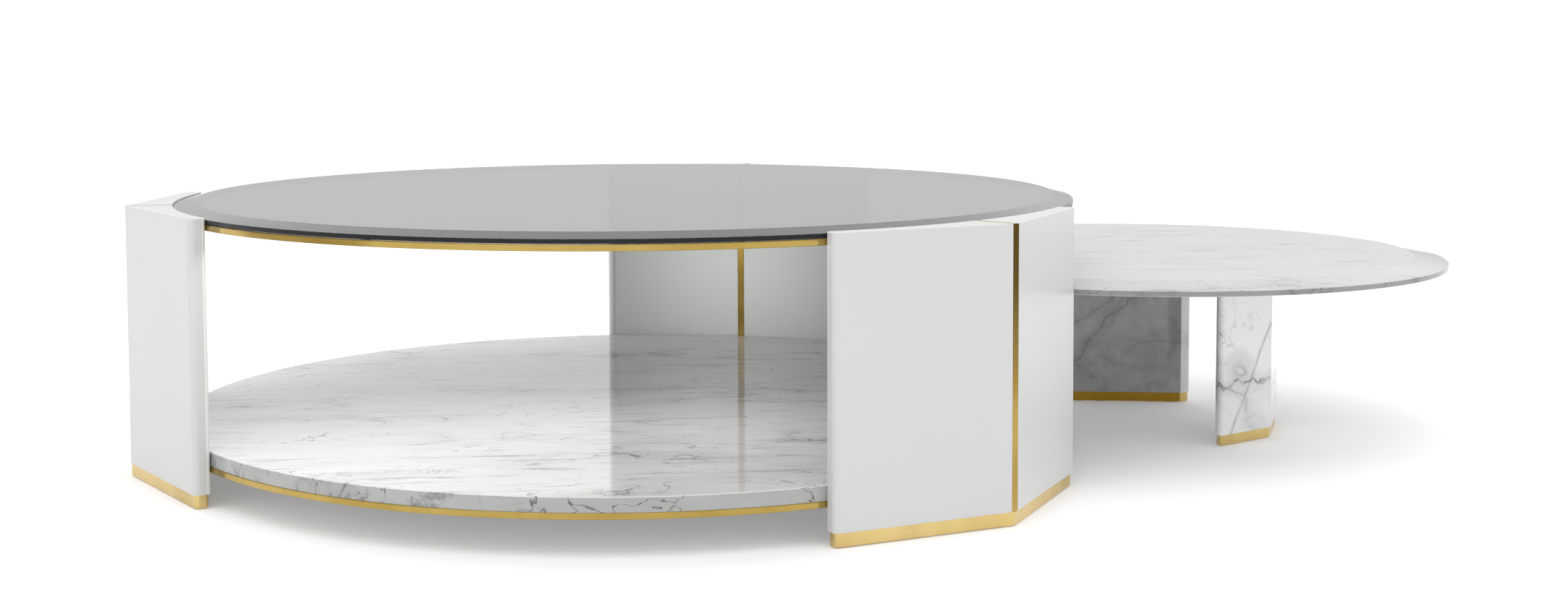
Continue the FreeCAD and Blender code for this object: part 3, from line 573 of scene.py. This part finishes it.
# Glass disc with a shallow bevel, on a flat brass ring of the same radius.
def makeLargeTop():
    low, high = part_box("glass_top")
    rim = placed(circleOutline(glassRadius), largeAxis, 0)
    carry("smoked_glass_disc", rim, bevelSection(low.z, high.z, glassTop), darkGlass, "large_table",
          ["glass_top"])
    low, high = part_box("top_ring")
    section = ringSection(low.z, high.z, brassRing["width"], brassRing["edgeRound"])
    carry("rolled_brass_ring", rim, section, polishedBrass, "large_table", ["top_ring"],
          ring=True)


shelf = {
    "inset": 0.001,           # slab stands back from the brass band
    "edgeRound": 0.0014,
    "bayClearance": 0.024,    # bay to the fold of the small table's inner leg
    "hornRadius": 0.024,      # rounded corners where the bay meets the rim
    "bandWidth": 0.012,
    "bandRound": 0.0009,
    "rimSteps": 320,          # points along each arc of the mesh
    "hornSteps": 14,
    "baySteps": 60,
}


# Disc with a round bay on +X: rim, horn, hollow bay, horn, each arc touching the next. A horn's
# centre is radius - horn from the disc's centre and bay + horn from the bay's.
def bayOutline(radius, bay, horn, span):
    hornX = ((radius - horn) ** 2 - (bay + horn) ** 2 + span ** 2) / (2 * span)
    hornY = math.sqrt((radius - horn) ** 2 - hornX ** 2)
    rimAngle = math.degrees(math.atan2(hornY, hornX))
    bayAngle = math.degrees(math.atan2(hornY, hornX - span))
    rim = arcRun((0, 0), radius, rimAngle, 360 - rimAngle, shelf["rimSteps"])
    lower = arcRun((hornX, -hornY), horn, -rimAngle, 180 - bayAngle, shelf["hornSteps"])
    hollow = arcRun((span, 0), bay, 360 - bayAngle, bayAngle, shelf["baySteps"], hollow=True)
    upper = arcRun((hornX, hornY), horn, bayAngle - 180, rimAngle, shelf["hornSteps"])
    return joinRuns([openRun(run) for run in (rim, lower, hollow, upper)])


# Marble slab and its brass band, both with a bay that is round about the small table's axis.
def makeShelf():
    towards = smallAxis - largeAxis
    azimuth = math.degrees(math.atan2(towards.y, towards.x))
    span = math.hypot(towards.x, towards.y)
    bay = smallLeg["foldRadius"] + shelf["bayClearance"]
    inset, horn = shelf["inset"], shelf["hornRadius"]
    low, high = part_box("marble_shelf")
    outline = placed(bayOutline(glassRadius - inset, bay + inset, horn, span), largeAxis, azimuth)
    section = wallSection(low.z, high.z, shelf["edgeRound"] / 2, shelf["edgeRound"])
    carry("marble_shelf_slab", outline, section, whiteMarble, "large_table", ["marble_shelf"])
    low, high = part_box("shelf_band")
    outline = placed(bayOutline(glassRadius, bay, horn, span), largeAxis, azimuth)
    section = ringSection(low.z, high.z, shelf["bandWidth"], shelf["bandRound"])
    carry("shelf_brass_band", outline, section, polishedBrass, "large_table", ["shelf_band"],
          ring=True)


largeLeg = {
    "azimuths": {"front_leg": -48.2, "back_leg": 71.8, "left_leg": 191.8},
    "foldRadius": 0.716,      # table axis to the fold
    "faceAngle": 19.55,       # each outer face leans back from the fold, degrees
    "halfAngle": 21.1,        # fold to wing end, seen from the axis, degrees
    "innerGap": 0.0005,       # inner face to the glass and shelf rims
    "noseRadius": 0.0085,
    "inlayHalf": 0.0055,
    "inlaySunk": 0.0006,      # the brass lies a hair inside the faces beside it
    "seam": 0.00015,          # hairline beside the brass
    "seamRound": 0.0009,      # eased edge beside the hairline
    "topRound": 0.0009,
    "footInset": 0.003,
    "footRound": 0.0007,
    "footFoldRound": 0.0015,
    "noseSteps": 10,          # points along each arc of the mesh
    "halfSteps": 40,
    "footSteps": 60,
}


# Where a wing's end face, moved in by inset, meets a circle about the axis.
def endAtRadius(radius, shape, inset):
    half = math.radians(shape["halfAngle"])
    along = math.sqrt(radius ** 2 - inset ** 2)
    return np.array([inset * math.sin(half) + along * math.cos(half),
                     along * math.sin(half) - inset * math.cos(half)])


# Rounded nose of one wing of a large leg: an arc from its outer face to its end face, and one on to
# its inner face. Their centres lie nose inside both faces that each arc touches.
def noseRuns(inner, inset, nose):
    endNormal = largeLeg["halfAngle"] + 90
    outer = wingEnd(largeLeg, inset + nose)
    hollowEnd = endAtRadius(inner + nose, largeLeg, inset + nose)
    back = math.degrees(math.atan2(hollowEnd[1], hollowEnd[0]))
    steps = largeLeg["noseSteps"]
    return [arcRun(outer, nose, largeLeg["faceAngle"], endNormal, steps),
            arcRun(hollowEnd, nose, endNormal, back + 180, steps)], back


# One half of a large leg: flat beside the inlay, flat outside, round nose, hollow inside.
def halfOutline(inner):
    seamY = largeLeg["inlayHalf"] + largeLeg["seam"]
    slope = math.tan(math.radians(largeLeg["faceAngle"]))
    start = (math.sqrt(inner ** 2 - seamY ** 2), seamY)
    fold = (largeLeg["foldRadius"] - seamY * slope, seamY)
    nose, back = noseRuns(inner, 0.0, largeLeg["noseRadius"])
    seamAngle = math.degrees(math.asin((seamY + largeLeg["seamRound"]) / inner))
    hollow = arcRun((0, 0), inner, back, seamAngle, largeLeg["halfSteps"], hollow=True)
    beside = arcRun((0, 0), inner, 2.0, 2.0, 0)[0][0]     # a point of the hollow near the seam
    seamCorners = [cornerRun(beside, start, fold, largeLeg["seamRound"]),
                   cornerRun(start, fold, wingEnd(largeLeg, 0.0), largeLeg["seamRound"])]
    return joinRuns(seamCorners + nose + [hollow])


# Foot of a large leg: the whole leg's outline, moved in on every side.
def footOutline(inner):
    inset = largeLeg["footInset"]
    nose, back = noseRuns(inner + inset, inset, largeLeg["noseRadius"] - inset)
    face = math.radians(largeLeg["faceAngle"])
    fold = np.array([largeLeg["foldRadius"] - inset / math.cos(face), 0.0])
    end = wingEnd(largeLeg, inset)
    upper = joinRuns(nose)
    hollow = arcRun((0, 0), inner + inset, back, -back, largeLeg["footSteps"], hollow=True)
    return joinRuns([cornerRun(end * flipY, fold, end, largeLeg["footFoldRound"]), upper,
                     (hollow[0][1:-1], hollow[1][1:-1]), mirrored(upper)])


# Each leg: two lacquered halves that mirror each other, a brass strip between them, a brass foot.
def makeLargeLegs():
    inner = glassRadius + largeLeg["innerGap"]
    half, foot = halfOutline(inner), footOutline(inner)
    slope = math.tan(math.radians(largeLeg["faceAngle"]))
    inlayOut = largeLeg["foldRadius"] - largeLeg["inlayHalf"] * slope - largeLeg["inlaySunk"]
    inlay = boxOutline(inner, inlayOut, largeLeg["inlayHalf"], largeLeg["seamRound"] / 2)
    for leg, azimuth in largeLeg["azimuths"].items():
        low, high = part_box(leg + "_left_half")
        wall = wallSection(low.z, high.z, largeLeg["topRound"], largeLeg["topRound"])
        for node, outline in (("_left_half", half), ("_right_half", mirrored(half))):
            carry(leg + "_lacquer" + node, placed(outline, largeAxis, azimuth), wall, whiteLacquer,
                  "large_table", [leg + node])
        edge = wallSection(low.z, high.z, largeLeg["seamRound"] / 2, largeLeg["seamRound"] / 2)
        carry(leg + "_brass_inlay", placed(inlay, largeAxis, azimuth), edge, inlayBrass,
              "large_table", [leg + "_inlay"])
        low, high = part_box(leg + "_foot")
        plinth = wallSection(low.z, high.z, largeLeg["footRound"], largeLeg["footRound"])
        carry(leg + "_brass_foot", placed(foot, largeAxis, azimuth), plinth, satinBrass,
              "large_table", [leg + "_foot"])


smallLeg = {
    "azimuths": {"small_right_leg": -39.5, "small_back_leg": 80.5, "small_inner_leg": 200.5},
    "foldRadius": 0.225,
    "faceAngle": 17.0,
    "halfAngle": 31.0,        # fold to the outer corner of a wing end
    "innerAngle": 27.5,       # fold to its inner corner, so the end is cut back
    "endThickness": 0.025,    # outer corner to inner corner, measured towards the axis
    "noseRadius": 0.006,
    "foldRound": 0.0015,
    "edgeRound": 0.0008,
    "footInset": 0.002,
    "footRound": 0.0006,
    "veinCentre": 0.19,       # table axis to the middle of a leg's vein circle
    "veinReach": 0.17,
    "cornerSteps": 8,
}
smallTop = {"bevelWidth": 0.050, "bevelDepth": 0.009, "edgeRound": 0.0016, "bevelRound": 0.004}
# Marble of the small top: the same marble as the legs, painted darker all over as painted shade, with
# painted shade on its bevel and upright edge.
shadedTopLook = {
    **marbleLook, "white": (0.58, 0.58, 0.58, 1), "grey": (0.31, 0.315, 0.325, 1),
    "cloudStrength": 0.30, "veinStrength": 0.8, "crackStrength": 0.65, "haloStrength": 0.2,
    "streakStrength": 0.7, "bevelShade": (0.84, 0.84, 0.84, 1),
}
# Marble of the small legs, with painted shade on the faces that look at the small table's axis.
legLook = {
    **marbleLook, "edgeShade": (1, 1, 1, 1), "innerShade": (0.55, 0.55, 0.55, 1),
    "innerDeepShade": (0.40, 0.40, 0.41, 1), "crackStrength": 0.35, "veinStrength": 0.45,
    "streakStrength": 0.35, "shift": (0.9, 0.4, 1.3), "cloudStrength": 0.3,
}


# A strong vein of one leg, with the circle of the plan that holds that leg.
def legVein(leg, vein):
    azimuth = math.radians(smallLeg["azimuths"][leg])
    out = smallLeg["veinCentre"]
    centre = (smallAxis.x + out * math.cos(azimuth), smallAxis.y + out * math.sin(azimuth), 0)
    return {**vein, "centre": centre, "reach": smallLeg["veinReach"]}


jaggedVein = {"across": (0.0, 0.10, 1.0), "offset": 0.086, "rag": 0.085, "ragScale": 30.0,
              "width": 0.0055, "strength": 0.95}
crossingVein = {"across": (-0.92, -0.5, 0.62), "offset": -0.512, "rag": 0.016, "ragScale": 12.0,
                "width": 0.0014, "strength": 0.8}
broadVein = {"across": (0.75, 0.0, -0.66), "offset": 0.300, "rag": 0.06, "ragScale": 14.0,
             "width": 0.003, "strength": 0.35}
faintVein = {"across": (0.62, 0.0, -0.78), "offset": 0.185, "rag": 0.06, "ragScale": 11.0,
             "width": 0.002, "strength": 0.30}
legVeins = [legVein("small_right_leg", jaggedVein), legVein("small_right_leg", crossingVein),
            legVein("small_back_leg", broadVein), legVein("small_back_leg", faintVein)]
shadedTopMarble = marble("small_top_marble", shadedTopLook)
veinedMarble = marble("small_leg_marble", legLook, legVeins)
footBrass = brass("small_foot_brass", shadedSatinLook)
print("finishes of the small table made")


# Small leg: two flat outer faces that meet at the fold, ends cut back, flat inner face.
def smallLegOutline(inset):
    end = wingEnd(smallLeg, 0.0)
    innerRadius = float(np.linalg.norm(end)) - smallLeg["endThickness"]
    turn = math.radians(smallLeg["innerAngle"])
    inner = innerRadius * np.array([math.cos(turn), math.sin(turn)])
    fold = (smallLeg["foldRadius"], 0.0)
    corners = movedIn([inner * flipY, end * flipY, fold, end, inner], inset)
    nose = smallLeg["noseRadius"] - inset
    radii = [nose, nose, smallLeg["foldRound"], nose, nose]
    steps = smallLeg["cornerSteps"]
    return joinRuns([cornerRun(corners[i - 1], corners[i], corners[(i + 1) % 5], radii[i], steps)
                     for i in range(5)])


# Marble disc on three marble blocks, each on a brass foot.
def makeSmallTable():
    low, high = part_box("small_top")
    rim = placed(circleOutline(smallRadius), smallAxis, 0)
    carry("small_marble_disc", rim, bevelSection(low.z, high.z, smallTop), shadedTopMarble, "small_table",
          ["small_top"])
    block, foot = smallLegOutline(0.0), smallLegOutline(smallLeg["footInset"])
    for leg, azimuth in smallLeg["azimuths"].items():
        low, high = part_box(leg)
        wall = wallSection(low.z, high.z, smallLeg["edgeRound"], smallLeg["edgeRound"])
        carry(leg + "_marble", placed(block, smallAxis, azimuth), wall, veinedMarble,
              "small_table", [leg])
        footNode = leg.replace("_leg", "_foot")
        low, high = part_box(footNode)
        plinth = wallSection(low.z, high.z, smallLeg["footRound"], smallLeg["footRound"])
        carry(footNode + "_brass", placed(foot, smallAxis, azimuth), plinth, footBrass,
              "small_table", [footNode])


# Pieces kept from the frame get their finish by the slot that the record gives them.
def finishKeptPieces():
    bySlot = {"clear_pads": clearPad, "steel": zincSteel, "board": paintedBoard, "glides": felt,
              "polished_brass": polishedBrass, "brushed_brass": satinBrass, "white_marble": whiteMarble,
              "white_lacquer": whiteLacquer, "smoked_glass": darkGlass}
    for part in frame["record"]["subparts"]:
        finish = bySlot[part["material_slot"]]
        kept = frame["nodes"][part["node"]]
        if not kept.material_slots:
            kept.data.materials.append(finish)
        for holder in kept.material_slots:
            holder.material = finish


makeLargeTop()
makeShelf()
makeLargeLegs()
makeSmallTable()
finishKeptPieces()
print("tables made")


# Wide level floor with a faint glow of its own.
floorLook = {"reach": 60.0, "colour": (0.93, 0.93, 0.93, 1), "second": (0.92535, 0.92535, 0.92535, 1),
             "patchScale": 0.8, "roughness": 0.9, "glow": (1, 1, 1, 1), "glowStrength": 0.16}


def makeFloor():
    reach = floorLook["reach"]
    mesh = bpy.data.meshes.new("floor")
    corners = [(-reach, -reach, 0), (reach, -reach, 0), (reach, reach, 0), (-reach, reach, 0)]
    mesh.from_pydata(corners, [], [(0, 1, 2, 3)])
    shade = Shade(bpy.data.materials.new("pale_floor"))
    tone = shade.noise(shade.places(), floorLook["patchScale"], 3.0)
    mesh.materials.append(shade.surface({
        "Base Color": shade.mix(tone, floorLook["colour"], floorLook["second"]),
        "Roughness": floorLook["roughness"], "Emission Color": floorLook["glow"],
        "Emission Strength": floorLook["glowStrength"]}))
    floor = bpy.data.objects.new("floor", mesh)
    bpy.context.scene.collection.objects.link(floor)


# Small lamps that stand in for light thrown back under the glass. Only their light is seen.
fillLamps = {
    "under_glass": {"place": (-0.42, -0.33, 0.345), "target": (-0.42, -0.31, 0.08),
                    "size": (0.8, 0.36), "power": 1.05, "spread": 170},
    "onto_back_leg": {"place": (-0.62, -1.60, 0.32), "target": (-0.10, 0.55, 0.22),
                      "size": (0.2, 0.1), "power": 0.115, "spread": 14},
}


def makeLamp(name, look):
    lamp = bpy.data.lights.new(name, "AREA")
    lamp.shape = "RECTANGLE"
    lamp.size, lamp.size_y = look["size"]
    lamp.energy = look["power"]
    lamp.spread = math.radians(look["spread"])
    holder = bpy.data.objects.new(name, lamp)
    holder.visible_camera = holder.visible_glossy = holder.visible_transmission = False
    holder.location = look["place"]
    aim = Vector(look["target"]) - Vector(look["place"])
    holder.rotation_euler = aim.to_track_quat("-Z", "Y").to_euler()
    bpy.context.scene.collection.objects.link(holder)


# Far soft lamp: tilt about X and Y in degrees, and the angle that it fills in the sky.
overhead = {"tilt": (20, -12), "angle": 40, "power": 0.28}


def makeSun(name, look):
    lamp = bpy.data.lights.new(name, "SUN")
    lamp.angle = math.radians(look["angle"])
    lamp.energy = look["power"]
    holder = bpy.data.objects.new(name, lamp)
    holder.rotation_euler = (math.radians(look["tilt"][0]), math.radians(look["tilt"][1]), 0)
    bpy.context.scene.collection.objects.link(holder)


# Studio cove. Strengths, and the parts of the sky that they cover, as shares of a unit direction.
studio = {
    "horizon": 0.68, "overhead": 1.35,
    "behind": 0.34,           # added behind the set, where it shows in polished faces
    "behindRange": (0.2, 0.7), "behindRise": (0.05, 0.24),
    "left": 0.84, "leftRange": (-0.9, -0.2),
    "backdrop": 1.05,         # what the camera sees directly
}


def makeWorld():
    world = bpy.data.worlds.new("studio")
    shade = Shade(world, "ShaderNodeOutputWorld")
    direction = shade.node("ShaderNodeTexCoord", output="Generated")
    across, ahead, rise = (shade.axis(letter, direction) for letter in "XYZ")
    glossy = shade.node("ShaderNodeLightPath", output="Is Glossy Ray")
    direct = shade.node("ShaderNodeLightPath", output="Is Camera Ray")
    behind = ahead.ramp(studio["behindRange"], 0.0, studio["behind"])
    behind = behind * rise.ramp(studio["behindRise"], 0.0, 1.0) * glossy
    light = rise.ramp((0.0, 1.0), studio["horizon"], studio["overhead"]) + behind
    light = light * across.ramp(studio["leftRange"], studio["left"], 1.0)
    strength = shade.node("ShaderNodeMix", {}, {0: direct, 2: light, 3: studio["backdrop"]})
    shade.show(shade.node("ShaderNodeBackground", {}, {"Color": (1, 1, 1, 1), "Strength": strength}))
    bpy.context.scene.world = world


# Camera: metres from the large table's axis, angles in degrees, focal length in picture widths.
view = {
    "ahead": 3.0162, "aside": -0.0152, "height": 0.6161,
    "turn": 3.581, "tilt": -3.873, "roll": -0.223,
    "focal": 2819.08 / 2167.0, "sensorWide": 36.0, "shiftX": 0.0246, "shiftY": -0.08,
    "clipEnd": 200,
}


def makeCamera():
    camera = bpy.data.cameras.new("camera")
    camera.sensor_width = view["sensorWide"]
    camera.lens = view["focal"] * view["sensorWide"]
    camera.shift_x = view["shiftX"]
    camera.shift_y = view["shiftY"]
    camera.clip_end = view["clipEnd"]
    holder = bpy.data.objects.new("camera", camera)
    holder.location = (largeAxis.x + view["aside"], largeAxis.y - view["ahead"], view["height"])
    aim = Euler((math.radians(90 + view["tilt"]), 0, math.radians(-view["turn"])), "XYZ").to_matrix()
    roll = Euler((0, 0, math.radians(view["roll"])), "XYZ").to_matrix()
    holder.rotation_euler = (aim @ roll).to_euler()
    bpy.context.scene.collection.objects.link(holder)
    bpy.context.scene.camera = holder


makeFloor()
makeWorld()
makeSun("overhead", overhead)
for lampName, lampLook in fillLamps.items():
    makeLamp(lampName, lampLook)
makeCamera()
bpy.context.scene.view_settings.view_transform = "Standard"

print("scene ready")
